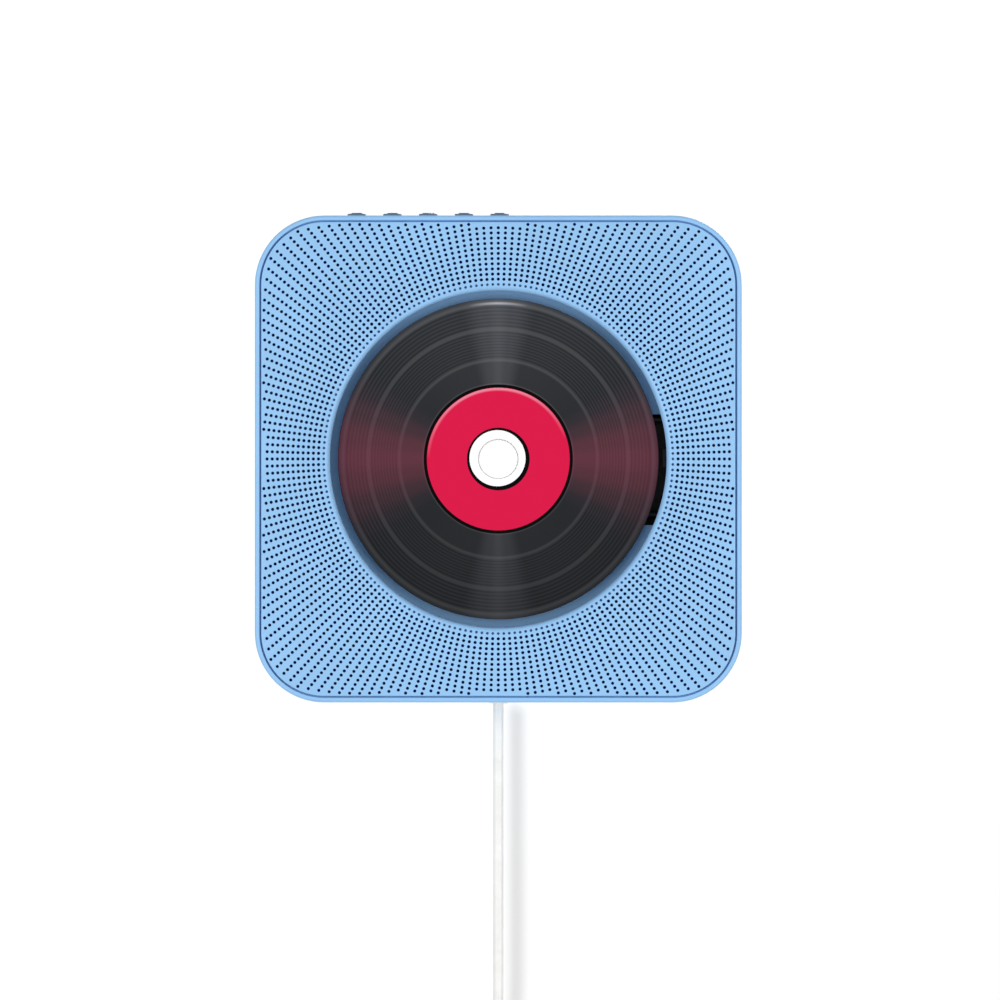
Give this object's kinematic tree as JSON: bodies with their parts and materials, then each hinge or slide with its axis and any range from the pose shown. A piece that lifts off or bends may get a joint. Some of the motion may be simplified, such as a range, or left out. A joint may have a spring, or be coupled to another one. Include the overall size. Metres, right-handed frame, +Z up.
{
  "type": "wall mounted cd player",
  "caption": "Square wall mounted disc player with rounded corners, a perforated front, an open round disc well, top buttons, a hook bracket and a pull-cord power lead.",
  "frame": {"origin": "on the wall, at the back face of the wall bracket, on the disc's axis", "axes": "+X to the right seen from the front, +Z up, +Y into the wall; the front faces -Y"},
  "size_m": [0.182, 0.0415, 0.3818],
  "materials": {
    "blue_plastic": "satin",
    "button_blue": "satin",
    "white_plastic": "satin",
    "white_cord": "satin",
    "black_plastic": "matte",
    "black_rubber": "matte",
    "paper_cone": "matte",
    "grille_cloth": "matte",
    "record_face": "gloss",
    "steel": "bright",
    "dark_steel": "satin",
    "ferrite": "matte",
    "circuit_board": "satin",
    "gear_plastic": "satin",
    "lens_glass": "clear",
    "flat_cable": "satin",
    "wire_red": "satin"
  },
  "bodies": {
    "wall_bracket": {"wall_bracket": "white_plastic"},
    "player": {"side_frame": "blue_plastic", "back_cover": "blue_plastic", "front_panel": "blue_plastic", "grille_cloth": "grille_cloth", "disc_well": "blue_plastic", "housing_screws": "steel", "wall_bumpers": "black_rubber", "usb_port": "steel", "headphone_jack": "black_plastic", "cord_bushing": "white_plastic", "deck_chassis": "black_plastic", "deck_dampers": "black_rubber", "deck_screws": "steel", "spindle_motor": "steel", "guide_rods": "dark_steel", "sled_motor": "steel", "gear_pin": "steel", "limit_switch": "black_plastic", "main_board": "circuit_board", "board_chips": "black_plastic", "capacitors": "ferrite", "board_screws": "steel", "button_board": "circuit_board", "tact_switches": "black_plastic", "speaker_baffle": "black_plastic", "speaker_baskets": "steel", "speaker_magnets": "ferrite", "speaker_surround_left": "black_rubber", "speaker_surround_right": "black_rubber", "speaker_gaskets": "black_rubber", "speaker_screws": "steel", "pull_switch_case": "white_plastic", "pull_spring": "steel", "ir_receiver": "black_plastic", "ribbon_cables": "flat_cable", "speaker_wires": "wire_red"},
    "turntable": {"turntable": "white_plastic", "hub_balls": "steel", "turntable_pad": "black_rubber", "spindle_shaft": "steel"},
    "disc": {"disc": "record_face"},
    "sled": {"pickup_sled": "black_plastic", "sled_rack": "gear_plastic"},
    "lens": {"lens_holder": "black_plastic", "pickup_lens": "lens_glass"},
    "sled_gear": {"sled_gear": "gear_plastic"},
    "sled_pinion": {"motor_pinion": "gear_plastic"},
    "button_power": {"button_power": "button_blue"},
    "button_back": {"button_back": "button_blue"},
    "button_play": {"button_play": "button_blue"},
    "button_next": {"button_next": "button_blue"},
    "button_mode": {"button_mode": "button_blue"},
    "pull": {"pull_slider": "black_plastic", "cord": "white_cord", "cord_coil": "white_cord", "cord_tie": "black_rubber", "usb_plug": "white_cord"},
    "speaker_left": {"speaker_cone_left": "paper_cone"},
    "speaker_right": {"speaker_cone_right": "paper_cone"}
  },
  "joints": [
    {"name": "lift_off_wall", "type": "slide", "parent": "wall_bracket", "child": "player", "axis": [0, 0, 1], "range_m": [0, 0.012]},
    {"name": "disc_spin", "type": "hinge", "parent": "player", "child": "turntable", "pos_m": [0, 0, 0], "axis": [0, -1, 0], "continuous": true},
    {"name": "disc_lift_off", "type": "slide", "parent": "turntable", "child": "disc", "axis": [0, -1, 0], "range_m": [0, 0.025]},
    {"name": "sled_travel", "type": "slide", "parent": "player", "child": "sled", "axis": [1, 0, 0], "range_m": [0, 0.034]},
    {"name": "lens_focus", "type": "slide", "parent": "sled", "child": "lens", "axis": [0, -1, 0], "range_m": [-0.0005, 0.0005], "stiffness_N_per_m": 50},
    {"name": "sled_gear_spin", "type": "hinge", "parent": "player", "child": "sled_gear", "pos_m": [0.024, 0, -0.0318], "axis": [0, 1, 0], "range_deg": [-1, 407]},
    {"name": "sled_pinion_spin", "type": "hinge", "parent": "player", "child": "sled_pinion", "pos_m": [0.01174, 0, -0.04208], "axis": [0, 1, 0], "range_deg": [-1220, 2]},
    {"name": "press_power", "type": "slide", "parent": "player", "child": "button_power", "axis": [0, 0, -1], "range_m": [0, 0.0006], "stiffness_N_per_m": 800, "springref_m": -0.0005},
    {"name": "press_back", "type": "slide", "parent": "player", "child": "button_back", "axis": [0, 0, -1], "range_m": [0, 0.0006], "stiffness_N_per_m": 800, "springref_m": -0.0005},
    {"name": "press_play", "type": "slide", "parent": "player", "child": "button_play", "axis": [0, 0, -1], "range_m": [0, 0.0006], "stiffness_N_per_m": 800, "springref_m": -0.0005},
    {"name": "press_next", "type": "slide", "parent": "player", "child": "button_next", "axis": [0, 0, -1], "range_m": [0, 0.0006], "stiffness_N_per_m": 800, "springref_m": -0.0005},
    {"name": "press_mode", "type": "slide", "parent": "player", "child": "button_mode", "axis": [0, 0, -1], "range_m": [0, 0.0006], "stiffness_N_per_m": 800, "springref_m": -0.0005},
    {"name": "pull_switch", "type": "slide", "parent": "player", "child": "pull", "axis": [0, 0, -1], "range_m": [0, 0.0035], "stiffness_N_per_m": 500, "springref_m": -0.004, "deforming": ["pull_spring"]},
    {"name": "speaker_left_stroke", "type": "slide", "parent": "player", "child": "speaker_left", "axis": [0, -1, 0], "range_m": [-0.001, 0.001], "stiffness_N_per_m": 1000, "deforming": ["speaker_surround_left"]},
    {"name": "speaker_right_stroke", "type": "slide", "parent": "player", "child": "speaker_right", "axis": [0, -1, 0], "range_m": [-0.001, 0.001], "stiffness_N_per_m": 1000, "deforming": ["speaker_surround_right"]}
  ],
  "couplings": [
    {"joint": "sled_gear_spin", "follows": "sled_travel", "rad_per_m": 208.33},
    {"joint": "sled_pinion_spin", "follows": "sled_travel", "rad_per_m": -625}
  ]
}
